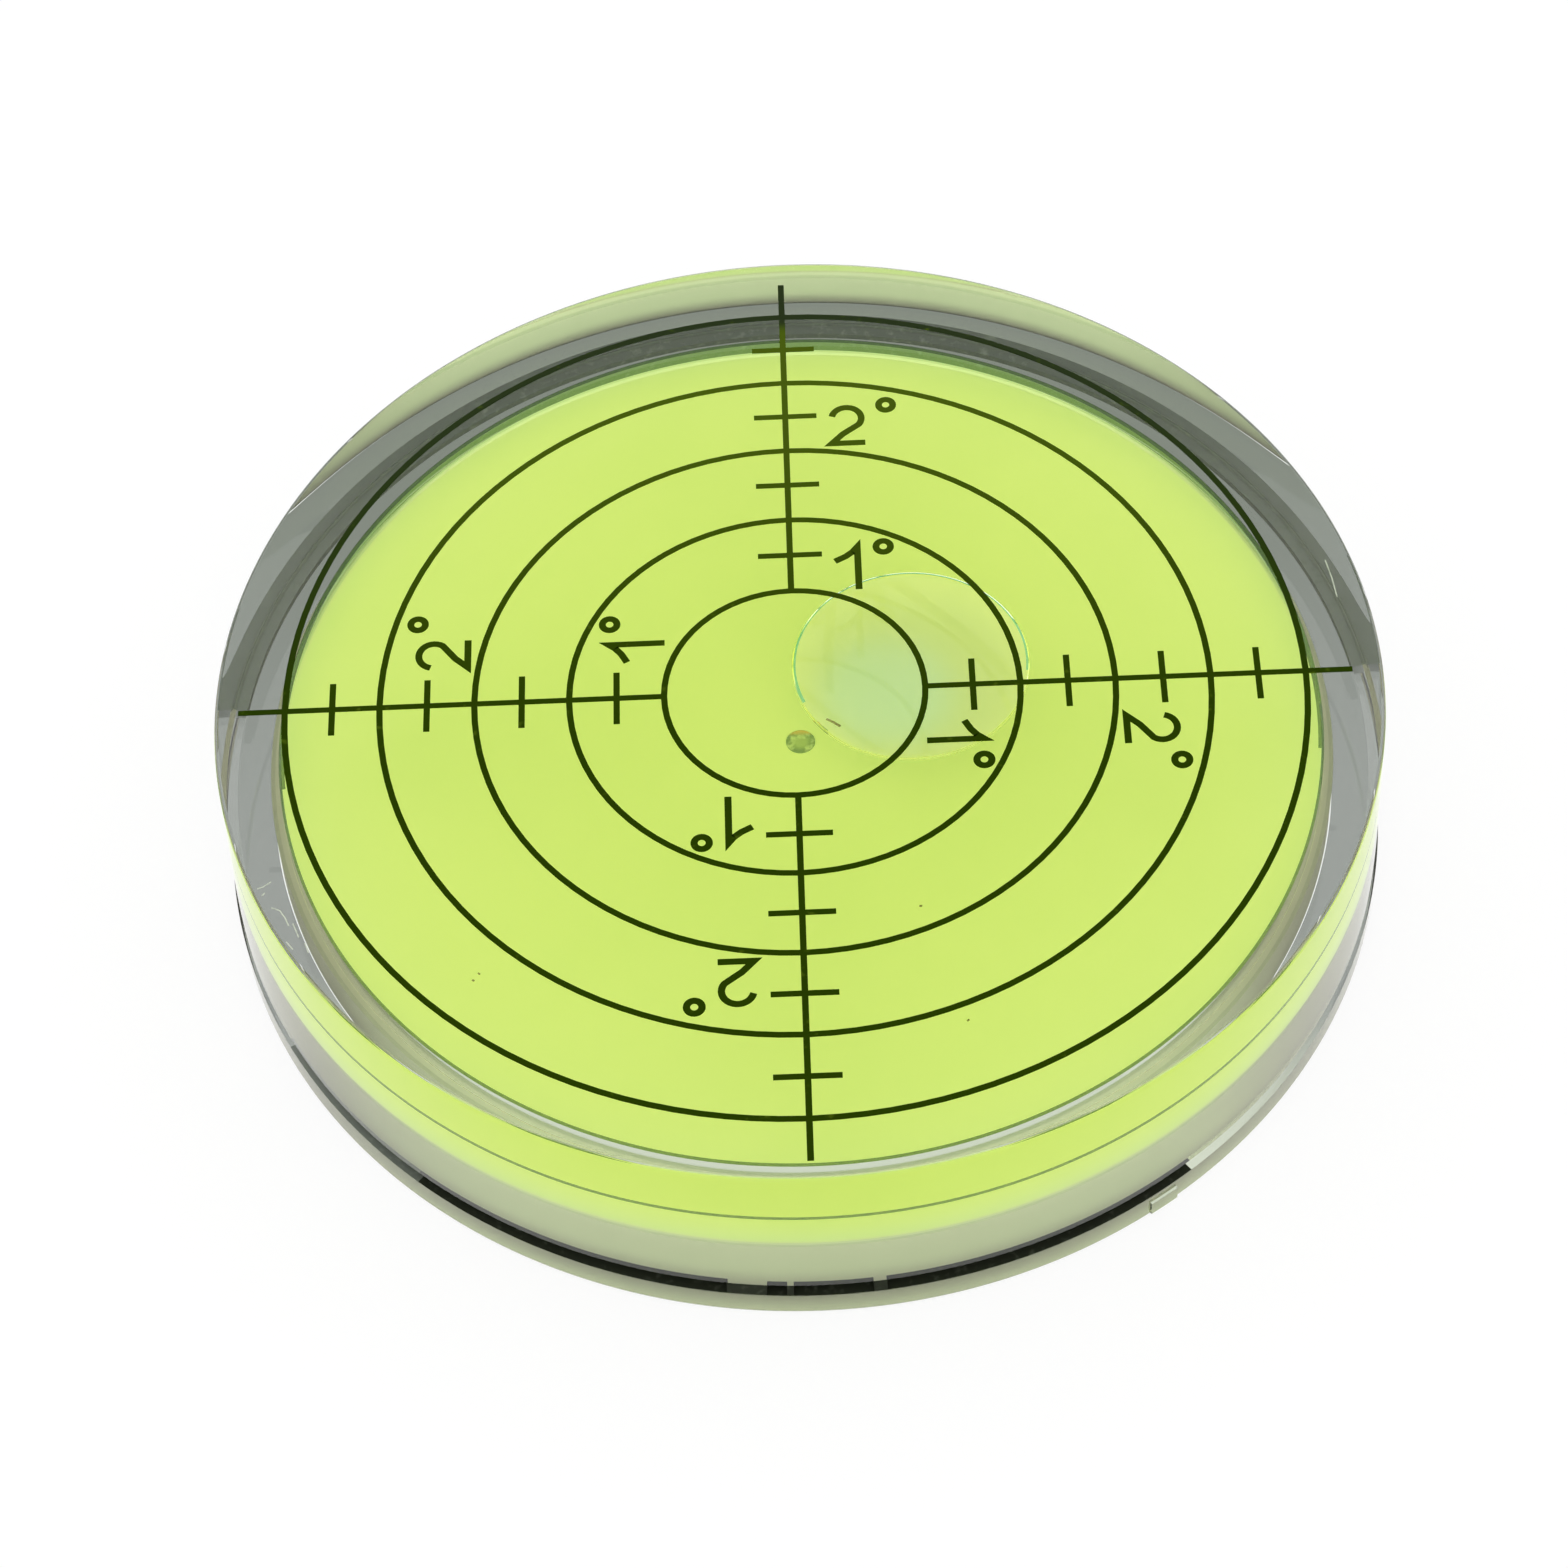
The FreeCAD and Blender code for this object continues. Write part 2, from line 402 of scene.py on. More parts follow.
@dataclass(frozen=True)
class MilkyPlastic:
    """Pale milky plastic; its side has a darker painted shade and a painted glow, most at front and back,
    for light passed on from its top.
    """

    effects: Effects
    name: str = "milky_plastic"
    color: Color = (0.95, 0.90, 0.62)
    clouded: Color = (0.91, 0.88, 0.58)
    roughness: float = 0.45
    # Painted shade and painted glow on the disc's side.
    shaded_side_color: Color = (0.71, 0.68, 0.47)
    side_from: float = 29.8 * MM
    painted_side_glow: Color = (0.76, 1.0, 0.46)
    painted_side_strength: float = 0.37
    front_share: float = 0.68
    front_span: Span = (-0.45, -0.9)
    back_span: Span = (0.45, 0.9)
    glow_height: float = 2.4 * MM
    clouds: Spots = (120.0, 0.3)

    def material(self) -> Material:
        """Return the new material."""
        values = {"Roughness": self.roughness, "Emission Strength": self.painted_side_strength}
        material, tree, shader, _ = new_material(self.name, values)
        where = self.effects.add_place(tree)
        side = tree.compute("GREATER_THAN", where.outputs["Reach"], self.side_from)
        clouds = self.effects.add_spots(tree, *self.clouds)
        top = tree.mixed(clouds, self.color, self.clouded)
        # Painted shade: the side darker than the top.
        tree.link(tree.mixed(side, top, self.shaded_side_color), shader.inputs["Base Color"])
        # Painted glow on the side, rising with height, most at front and back.
        high = tree.ramp(where.outputs["Height"], 0.0, self.glow_height)
        front = tree.ramp(where.outputs["Depthwise"], *self.front_span)
        back = tree.ramp(where.outputs["Depthwise"], *self.back_span)
        turned = tree.compute("MULTIPLY_ADD", front, self.front_share, back)
        share = tree.compute("MULTIPLY", tree.compute("MULTIPLY", side, high), turned)
        tree.link(tree.mixed(share, (0, 0, 0), self.painted_side_glow), shader.inputs["Emission Color"])
        return material


@dataclass(frozen=True)
class ScaleInk:
    """Dark screen-printed ink, more olive towards the back, apart from the outer ring."""

    effects: Effects
    name: str = "scale_ink"
    front: Color = (0.020, 0.042, 0.001)
    back: Color = (0.065, 0.105, 0.006)
    outer: Color = (0.022, 0.034, 0.012)
    outer_span: Span = (27.2 * MM, 28.2 * MM)
    back_span: Span = (-5 * MM, 28 * MM)
    wear: Spots = (1500.0, 0.1)
    roughness: float = 0.6

    def material(self) -> Material:
        """Return the new material."""
        values = {"Roughness": self.roughness, "Specular IOR Level": 0.0}
        material, tree, shader, _ = new_material(self.name, values)
        where = self.effects.add_place(tree)
        outer = tree.ramp(where.outputs["Reach"], *self.outer_span)
        far = tree.ramp(where.outputs["Depth"], *self.back_span)
        even = tree.mixed(far, self.front, tree.mixed(outer, self.back, self.outer))
        worn = self.effects.add_spots(tree, *self.wear)
        tree.link(tree.mixed(worn, even, self.back), shader.inputs["Base Color"])
        return material


@dataclass(frozen=True)
class SealingWax:
    """Greenish grey compound of the filling plug, with an orange stain and a pale grain."""

    effects: Effects
    name: str = "sealing_compound"
    color: Color = (0.36, 0.36, 0.16)
    edge: Color = (0.10, 0.10, 0.03)
    grain: Color = (0.70, 0.68, 0.45)
    stain: Color = (0.75, 0.33, 0.04)
    grains: Spots = (2600.0, 0.25)
    edge_span: Span = (0.25 * MM, 0.70 * MM)
    stain_span: Span = (0.4 * MM, 0.75 * MM)
    roughness: float = 0.6

    def material(self) -> Material:
        """Return the new material."""
        material, tree, shader, _ = new_material(self.name, {"Roughness": self.roughness})
        grain = self.effects.add_spots(tree, *self.grains)
        where = self.effects.add_place(tree)
        outer = tree.ramp(where.outputs["Reach"], *self.edge_span)
        stained = tree.ramp(where.outputs["Depth"], *self.stain_span)
        even = tree.mixed(grain, tree.mixed(outer, self.color, self.edge), self.grain)
        tree.link(tree.mixed(stained, even, self.stain), shader.inputs["Base Color"])
        return material


@dataclass(frozen=True)
class ClearCement:
    """Clear cement between the base disc and the housing."""

    name: str = "clear_cement"
    color: Color = (0.90, 0.92, 0.88)

    def material(self) -> Material:
        """Return the new material."""
        values = {"Base Color": (*self.color, 1), "Transmission Weight": 1.0, "Roughness": 0.0,
                  "IOR": Skin.BONDED.value}
        return new_material(self.name, values)[0]


@dataclass(frozen=True)
class MarkTone:
    """Dull tone of a scratch or a speck on the lens, uneven along its length."""

    effects: Effects
    name: str
    color: Color
    weak: Color
    grains: Spots = (1800.0, 0.25)
    roughness: float = 0.8
    cover: float = 0.6

    def material(self) -> Material:
        """Return the new material."""
        values = {"Roughness": self.roughness, "Alpha": self.cover}
        material, tree, shader, _ = new_material(self.name, values)
        uneven = self.effects.add_spots(tree, *self.grains)
        tree.link(tree.mixed(uneven, self.color, self.weak), shader.inputs["Base Color"])
        return material


@dataclass(frozen=True)
class GrooveShade:
    """Dark fill of the groove, with another tone towards the sides. At the groove's back and sides it serves
    as painted shade, lighter towards the sides.
    """

    effects: Effects
    name: str = "dark_groove_fill"
    color: Color = (0.020, 0.024, 0.014)
    side: Color = (0.03, 0.035, 0.025)
    grain: Color = (0.05, 0.06, 0.04)
    grains: Spots = (2200.0, 0.2)
    back_span: Span = (0.35, 0.9)
    front_span: Span = (-0.35, -0.8)
    roughness: float = 0.7
    gloss: float = 0.1

    def material(self) -> Material:
        """Return the new material."""
        values = {"Roughness": self.roughness, "Specular IOR Level": self.gloss}
        material, tree, shader, _ = new_material(self.name, values)
        grain = self.effects.add_spots(tree, *self.grains)
        where = self.effects.add_place(tree)
        back = tree.ramp(where.outputs["Depthwise"], *self.back_span)
        front = tree.ramp(where.outputs["Depthwise"], *self.front_span)
        even = tree.mixed(tree.compute("ADD", back, front), self.side, self.color)
        tree.link(tree.mixed(grain, even, self.grain), shader.inputs["Base Color"])
        return material


def turn(bm: BMesh, corners: list[Point], skin: Skin, mark: Mark = Mark.PLAIN,
         steps: int = TURN_STEPS) -> None:
    """Turn an open outline about the disc's axis and write down what its faces part.

    Args:
        bm: The mesh that takes the faces.
        corners: Radius and height of each point, in order.
        skin: What lies on the two sides of these faces.
        mark: Tone of these faces, which their material reads.
        steps: Number of faces round the turn.
    """
    index = bm.faces.layers.float.get(SKIN_INDEX) or bm.faces.layers.float.new(SKIN_INDEX)
    marks = bm.faces.layers.float.get(SKIN_MARK) or bm.faces.layers.float.new(SKIN_MARK)
    known = set(bm.faces)
    points = [bm.verts.new((radius, 0, height)) for radius, height in corners]
    sides = [bm.edges.new(pair) for pair in zip(points, points[1:])]
    bmesh.ops.spin(bm, geom=points + sides, cent=(0, 0, 0), axis=(0, 0, 1), dvec=(0, 0, 0),
                   angle=math.tau, steps=steps, use_merge=True)
    for face in bm.faces:
        if face not in known:
            face[index] = skin.value
            face[marks] = mark.value


def on_circle(edge: BMEdge, radius: float, height: float) -> bool:
    """Say whether both ends of an edge lie on a circle about the axis."""
    close = 0.002 * MM
    return all(abs(math.hypot(v.co.x, v.co.y) - radius) < close and abs(v.co.z - height) < close
               for v in edge.verts)


def azimuth_deg(face: BMFace) -> float:
    """Return the direction of a face's middle from the axis, from -180 to 180 degrees."""
    middle = face.calc_center_median()
    return math.degrees(math.atan2(middle.y, middle.x))


def round_circle(bm: BMesh, radius: float, height: float, size: float, segments: int) -> None:
    """Round one circular edge with the bevel operator."""
    circle = [edge for edge in bm.edges if on_circle(edge, radius, height)]
    bmesh.ops.bevel(bm, geom=circle, offset=size, offset_type="OFFSET",
                    segments=segments, profile=0.5, affect="EDGES", clamp_overlap=True, material=-1)


def close_shell(bm: BMesh) -> None:
    """Merge doubled points and turn every face to the same side."""
    bmesh.ops.remove_doubles(bm, verts=bm.verts[:], dist=MERGE_GAP)
    bmesh.ops.recalc_face_normals(bm, faces=bm.faces[:])


def finished(bm: BMesh, name: str) -> Object:
    """Turn a bmesh into an object with smooth walls and crisp corners.

    Args:
        bm: The mesh, which is freed.
        name: Name of the object.

    Returns:
        The new object.
    """
    mesh = bpy.data.meshes.new(name)
    bm.to_mesh(mesh)
    bm.free()
    mesh.shade_smooth()
    mesh.set_sharp_from_angle(angle=math.radians(SMOOTH_DEG))
    piece = bpy.data.objects.new(name, mesh)
    bpy.context.scene.collection.objects.link(piece)
    return piece


def ribbon(stroke: list[Point], width: float, closed: bool = False) -> Mesh:
    """Sweep a flat line along a stroke.

    Args:
        stroke: Points of the stroke.
        width: Width of the line.
        closed: Whether the stroke runs back to its first point.

    Returns:
        The flat mesh of the stroke.
    """
    nib = bpy.data.curves.new("nib", "CURVE")
    edge = nib.splines.new("POLY")
    edge.points.add(1)
    edge.points[0].co = (-width / 2, 0, 0, 1)
    edge.points[1].co = (width / 2, 0, 0, 1)
    pen = bpy.data.objects.new("nib", nib)
    path = bpy.data.curves.new("stroke", "CURVE")
    path.dimensions = "2D"
    path.fill_mode = "NONE"
    path.bevel_mode = "OBJECT"
    path.bevel_object = pen
    line = path.splines.new("POLY")
    line.points.add(len(stroke) - 1)
    for point, (x, y) in zip(line.points, stroke):
        point.co = (x, y, 0, 1)
    line.use_cyclic_u = closed
    sweep = bpy.data.objects.new("stroke", path)
    for item in (pen, sweep):
        bpy.context.scene.collection.objects.link(item)
    bpy.context.view_layer.update()
    drawn = sweep.evaluated_get(bpy.context.evaluated_depsgraph_get())
    mesh = bpy.data.meshes.new_from_object(drawn)
    for item, data in ((sweep, path), (pen, nib)):
        bpy.data.objects.remove(item)
        bpy.data.curves.remove(data)
    return mesh


def lay(bm: BMesh, mesh: Mesh, matrix: Matrix) -> None:
    """Add a copy of a mesh, moved by a matrix."""
    known = set(bm.verts)
    bm.from_mesh(mesh)
    bmesh.ops.transform(bm, matrix=matrix, verts=[vert for vert in bm.verts if vert not in known])


def as_film(bm: BMesh, name: str, thickness: float) -> Object:
    """Give flat faces a thickness and make a piece of them.

    Args:
        bm: The flat faces, which face any way.
        name: Name of the piece.
        thickness: Height by which the faces are raised.

    Returns:
        The film, closed all round.
    """
    close_shell(bm)
    raised = bmesh.ops.extrude_face_region(bm, geom=bm.faces[:], use_keep_orig=True)["geom"]
    bmesh.ops.translate(bm, verts=[item for item in raised if isinstance(item, BMVert)],
                        vec=(0, 0, thickness))
    bmesh.ops.recalc_face_normals(bm, faces=bm.faces[:])
    return finished(bm, name)


def dress(piece: Object, *materials: Material) -> None:
    """Give a piece these materials in place of those it has."""
    if piece.data.materials:
        piece.data.materials.clear()
    for material in materials:
        piece.data.materials.append(material)


def box_of(node: str) -> tuple[Vector, Vector]:
    """Return the lowest and highest corner of a node at rest."""
    low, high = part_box(node)
    return Vector(low), Vector(high)


@dataclass
class Cavity:
    """Space under the lens that the liquid fills: drafted bore, flat floor and shallow dome."""

    bore_radius: float = 29.75 * MM
    dome_radius: float = 600.0 * MM
    corner: float = 0.15 * MM
    # Width of the painted dark line at the dome's edge.
    dark_edge: float = 0.18 * MM
    draft_deg: float = 1.0
    edge_depth: float = 2.35 * MM
    dome_steps: int = 12
    floor: float = field(default_factory=lambda: box_of("base_plate")[1].z)
    ledge: float = field(default_factory=lambda: box_of("cement_joint")[1].z)

    @property
    def edge_height(self) -> float:
        """Height at which the dome would meet the bore."""
        return self.ledge + self.edge_depth

    def dome_drop(self, radius: float) -> float:
        """Return how far the dome lies below its crown at a radius."""
        return self.dome_radius - math.sqrt(self.dome_radius ** 2 - radius ** 2)

    def bore_at(self, height: float) -> float:
        """Return the bore's radius at a height."""
        return self.bore_radius + (self.edge_height - height) * math.tan(math.radians(self.draft_deg))

    def dome(self, inset: float) -> list[Point]:
        """Return the dome's outline from its crown to its edge, drawn in by an inset."""
        crown = self.edge_height + self.dome_drop(self.bore_radius) - inset
        reach = self.bore_radius - self.corner - inset
        within = reach - self.dark_edge
        radii = [within * index / self.dome_steps for index in range(self.dome_steps + 1)] + [reach]
        return [(radius, crown - self.dome_drop(radius)) for radius in radii]

    def wall(self, inset: float, foot: float) -> list[Point]:
        """Return the outline down the bore to a foot, drawn in by an inset."""
        shoulder = self.edge_height - self.corner - inset
        return [(self.bore_at(shoulder) - inset, shoulder), (self.bore_at(foot) - inset, foot)]

    def bevel(self, inset: float) -> list[Point]:
        """Return the outline of the corner between dome and bore, drawn in by an inset."""
        return [self.dome(inset)[-1], self.wall(inset, self.floor)[0]]


@dataclass
class Housing:
    """Clear cup: printed flat top, domed underside, drafted wall with a groove near its foot."""

    cavity: Cavity
    lens_radius: float = 33.0 * MM
    edge_round: float = 0.25 * MM
    edge_segments: int = 5
    foot_round: float = 0.2 * MM
    foot_segments: int = 3
    foot_radius: float = 33.290 * MM
    groove_foot: float = 1.75 * MM
    groove_opening: float = 0.7 * MM
    groove_depth: float = 0.8 * MM
    groove_lip: float = 0.15 * MM
    web_spans_deg: tuple[Span, ...] = ((-98.75, -95.0), (-93.125, -92.5), (-85.0, -83.75))
    # Where the groove gets its dark fill, at the front.
    dark_fill_span_deg: Span = (-131.0, -52.0)
    # Where the groove gets painted shade: at the back and at the front left.
    painted_shade_spans_deg: tuple[Span, ...] = ((8.0, 172.0), (-152.0, -131.0))
    gate_span_deg: Span = (-56.875, -53.75)
    gate_top: float = 1.2 * MM
    gate_stand_out: float = 0.14 * MM
    shaded_seat: float = 0.35 * MM
    plain_edge_deg: Span = (-174.0, -6.0)
    top: float = field(default_factory=lambda: box_of("housing")[1].z)

    def wall_at(self, height: float) -> float:
        """Return the radius of the outer wall at a height."""
        return self.lens_radius + (self.top - height) * math.tan(math.radians(self.cavity.draft_deg))

    @property
    def lip(self) -> Point:
        """Radius and height of the edge where the wall meets the groove."""
        height = self.groove_foot + self.groove_opening + self.groove_lip
        return self.wall_at(self.groove_foot + self.groove_opening), height

    def groove_outline(self) -> list[Point]:
        """Return the groove's half section from its upper edge to its lower edge."""
        lip_radius, lip_height = self.lip
        root = self.wall_at(self.groove_foot) - self.groove_depth
        roof = lip_height - self.groove_lip
        return [(lip_radius, lip_height), (lip_radius - self.groove_lip, roof), (root, roof),
                (root, self.groove_foot), (self.foot_radius, self.groove_foot)]

    def in_groove(self, face: BMFace) -> bool:
        """Say whether a face is one of the groove's own."""
        middle = face.calc_center_median()
        reach = math.hypot(middle.x, middle.y)
        root = self.wall_at(self.groove_foot) - self.groove_depth
        inside = root - FILM_GAP < reach < self.foot_radius - FILM_GAP
        return inside and self.groove_foot - FILM_GAP < middle.z < self.lip[1]

    def add_web(self, bm: BMesh, start_deg: float, end_deg: float) -> None:
        """Close the groove between two directions.

        Args:
            bm: The turned cup.
            start_deg: Direction in which the web begins.
            end_deg: Direction in which it ends.
        """
        spanned = [face for face in bm.faces
                   if self.in_groove(face) and start_deg < azimuth_deg(face) < end_deg]
        bmesh.ops.delete(bm, geom=spanned, context="FACES")
        rim = [edge for edge in bm.edges if edge.is_boundary]
        long_sides = [edge for edge in rim if on_circle(edge, *self.lip)
                      or on_circle(edge, self.foot_radius, self.groove_foot)]
        bmesh.ops.bridge_loops(bm, edges=long_sides)
        bmesh.ops.holes_fill(bm, edges=[edge for edge in bm.edges if edge.is_boundary], sides=0)

    def add_gate(self, bm: BMesh) -> None:
        """Raise the trimmed stub on the foot where the mould was filled."""
        start, end = self.gate_span_deg
        band = [face for face in bm.faces if start < azimuth_deg(face) < end
                and self.foot_round < face.calc_center_median().z < self.gate_top
                and math.hypot(*face.calc_center_median().xy) > self.foot_radius - FILM_GAP]
        raised = bmesh.ops.extrude_face_region(bm, geom=band)["geom"]
        bmesh.ops.delete(bm, geom=band, context="FACES")
        turned = math.radians((start + end) / 2)
        outwards = Vector((math.cos(turned), math.sin(turned), 0))
        corners = [item for item in raised if isinstance(item, BMVert)]
        bmesh.ops.translate(bm, verts=corners, vec=outwards * self.gate_stand_out)

    def paint(self, bm: BMesh) -> None:
        """Write down which faces get painted shade, which the painted dark rim, and which the groove's dark
        fill or its painted shade.

        New faces of the webs and of the gate lack a ratio of indices, so they get that of a dry
        wall. At the back the cavity's corner doesn't bend light, or it would show as a white line.

        Args:
            bm: The finished cup.
        """
        index = bm.faces.layers.float[SKIN_INDEX]
        marks = bm.faces.layers.float[SKIN_MARK]
        dark_fill, painted_shade = 1, 2
        spans = [(dark_fill, self.dark_fill_span_deg)] + [(painted_shade, span) for span in self.painted_shade_spans_deg]
        roof = self.groove_foot + self.groove_opening
        for face in bm.faces:
            if face[index] < Skin.BONDED.value:
                face[index] = Skin.DRY.value
            middle, turned = face.calc_center_median(), azimuth_deg(face)
            # Painted shade on the lowest faces of the foot.
            if middle.z < self.foot_round:
                face[marks] = Mark.PAINTED_SHADE_AND_GLOW.value
            on_edge = face[marks] == Mark.PAINTED_RIM.value
            on_dome = middle.z > self.cavity.edge_height - FILM_GAP
            if on_edge and on_dome and self.plain_edge_deg[0] < turned < self.plain_edge_deg[1]:
                face[marks] = Mark.PLAIN.value
            if on_edge and not on_dome and turned > 0:
                face[index] = Skin.BONDED.value
            if self.in_groove(face) and (turned > 0 or middle.z < roof + FILM_GAP):
                face.material_index = next((place for place, (start, end) in spans
                                            if start < turned < end), 0)

    def build(self) -> Object:
        """Turn the cup, round its edges, and add the webs and the gate mark.

        Returns:
            The clear cup. Its second material is the groove's dark fill at the front, its third the groove's
            painted shade at the back and sides.
        """
        seat = box_of("cement_joint")[1].x + FILM_GAP
        ledge = self.cavity.ledge + FILM_GAP
        bm = bmesh.new()
        turn(bm, [(0, self.top), (self.lens_radius, self.top), self.lip], Skin.DRY)
        turn(bm, self.groove_outline(), Skin.DRY)
        turn(bm, [(self.foot_radius, self.groove_foot), (self.foot_radius, self.gate_top),
                  (self.foot_radius, 0)], Skin.DRY)
        # Painted shade on the foot and the low seat, for the grey, shaded table under the disc.
        turn(bm, [(self.foot_radius, 0), (seat, 0)], Skin.DRY, mark=Mark.PAINTED_SHADE_AND_GLOW)
        turn(bm, [(seat, 0), (seat, self.shaded_seat)], Skin.BONDED, mark=Mark.PAINTED_SHADE_AND_GLOW)
        turn(bm, [(seat, self.shaded_seat), (seat, ledge), (self.cavity.bore_at(ledge), ledge)], Skin.BONDED)
        turn(bm, self.cavity.dome(0)[:-1], Skin.WET)
        # Painted dark line on the dome's edge and its corner.
        turn(bm, self.cavity.dome(0)[-2:], Skin.WET, mark=Mark.PAINTED_RIM)
        turn(bm, self.cavity.bevel(0), Skin.WET, mark=Mark.PAINTED_RIM)
        turn(bm, self.cavity.wall(0, ledge), Skin.WET)
        close_shell(bm)
        round_circle(bm, self.lens_radius, self.top, self.edge_round, self.edge_segments)
        round_circle(bm, self.foot_radius, 0, self.foot_round, self.foot_segments)
        for start, end in self.web_spans_deg:
            self.add_web(bm, start, end)
        self.add_gate(bm)
        close_shell(bm)
        self.paint(bm)
        piece = finished(bm, "clear_cup")
        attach(piece, "root")
        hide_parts("housing")
        return piece


@dataclass
class SightLiquid:
    """Dyed liquid with the empty space of the bubble in it."""

    cavity: Cavity
    clearance: float = 0.02 * MM
    bubble_centre: Point = (6.5 * MM, 3.95 * MM)
    bubble_radius: float = 6.85 * MM
    bubble_depth: float = 1.6 * MM
    bubble_rim: float = 0.45 * MM
    bubble_film: float = 0.05 * MM
    rim_steps: int = 5
    bowl_steps: int = 16
    turn_steps: int = 192
    # Directions in which the bubble's rim has no painted reflection.
    faint_span_deg: Span = (-158.0, -8.0)

    def bubble_outline(self) -> list[Point]:
        """Return the bubble's half section: flat above, a round rim, and a shallow bowl below."""
        crown = self.cavity.edge_height + self.cavity.dome_drop(self.cavity.bore_radius)
        far = math.hypot(*self.bubble_centre) + self.bubble_radius
        top = crown - self.cavity.dome_drop(far) - self.clearance - self.bubble_film
        depth = self.bubble_depth - self.bubble_rim
        bowl = (self.bubble_radius ** 2 + depth ** 2) / (2 * depth)
        half_angle = math.asin(self.bubble_radius / bowl)
        side = self.bubble_rim / 2
        outline = [(0, top)]
        for step in range(self.rim_steps + 1):
            angle = math.pi / 2 * (1 - step / self.rim_steps)
            outline.append((self.bubble_radius - side + side * math.cos(angle),
                            top - side + side * math.sin(angle)))
        for step in range(self.bowl_steps + 1):
            angle = half_angle * (1 - step / self.bowl_steps)
            outline.append((bowl * math.sin(angle), top - self.bubble_depth + bowl * (1 - math.cos(angle))))
        return outline

    def build(self) -> Object:
        """Turn the liquid's outside and the wall of the bubble.

        Returns:
            The liquid.
        """
        floor = self.cavity.floor + self.clearance
        bubble = bmesh.new()
        outline = self.bubble_outline()
        turn(bubble, outline[:2], Skin.BUBBLE, steps=self.turn_steps)
        # Painted blue reflection on the bubble's rim.
        turn(bubble, outline[1:self.rim_steps + 2], Skin.BUBBLE, mark=Mark.PAINTED_RIM, steps=self.turn_steps)
        turn(bubble, outline[self.rim_steps + 1:], Skin.BUBBLE, steps=self.turn_steps)
        marks = bubble.faces.layers.float[SKIN_MARK]
        start, end = self.faint_span_deg
        for face in bubble.faces:
            if start < azimuth_deg(face) < end:
                face[marks] = Mark.PLAIN.value
        close_shell(bubble)
        bmesh.ops.reverse_faces(bubble, faces=bubble.faces[:])
        bmesh.ops.translate(bubble, verts=bubble.verts[:], vec=(*self.bubble_centre, 0))
        bm = bmesh.new()
        shell = self.cavity.dome(self.clearance) + self.cavity.wall(self.clearance, floor) + [(0, floor)]
        # Painted glow on the liquid's body.
        turn(bm, shell, Skin.BONDED, mark=Mark.PAINTED_SHADE_AND_GLOW, steps=self.turn_steps)
        close_shell(bm)
        void = bpy.data.meshes.new("bubble")
        bubble.to_mesh(void)
        bubble.free()
        bm.from_mesh(void)
        bpy.data.meshes.remove(void)
        piece = finished(bm, "liquid_fill")
        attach(piece, "root")
        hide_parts("sight_liquid")
        return piece


@dataclass
class BaseDisc:
    """Milky disc that closes the cavity from below, with its filling hole and the cement round it."""

    cavity: Cavity
    edge_chamfer: float = 0.15 * MM
    hole_radius: float = 0.85 * MM
    mouth_radius: float = 1.7 * MM
    mouth_depth: float = 0.85 * MM
    cement_reach: float = 0.25 * MM
    cement_foot: float = 0.31 * MM

    def build(self) -> tuple[Object, Object]:
        """Turn the disc and the cement.

        Returns:
            The disc and the ring of cement.
        """
        top = self.cavity.floor
        side = box_of("base_plate")[1].x - FILM_GAP
        outline = [(self.hole_radius, top), (side, top), (side, self.edge_chamfer),
                   (side - self.edge_chamfer, 0), (self.mouth_radius, 0),
                   (self.hole_radius, self.mouth_depth), (self.hole_radius, top)]
        bm = bmesh.new()
        turn(bm, outline, Skin.BONDED)
        close_shell(bm)
        disc = finished(bm, "milky_disc")
        joint = box_of("cement_joint")[1]
        inner, outer, roof = side + 2 * FILM_GAP, joint.x - FILM_GAP, joint.z - FILM_GAP
        outline = [(inner, self.cement_foot), (outer, self.cement_foot), (outer, roof),
                   (inner - self.cement_reach, roof), (inner - self.cement_reach, top + FILM_GAP),
                   (inner, top + FILM_GAP), (inner, self.cement_foot)]
        bm = bmesh.new()
        turn(bm, outline, Skin.BONDED)
        close_shell(bm)
        ring = finished(bm, "cement_film")
        for piece, node, slot in ((disc, "base_plate", "milky_base"), (ring, "cement_joint", "cement")):
            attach(piece, "root")
            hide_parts(node)
        return disc, ring


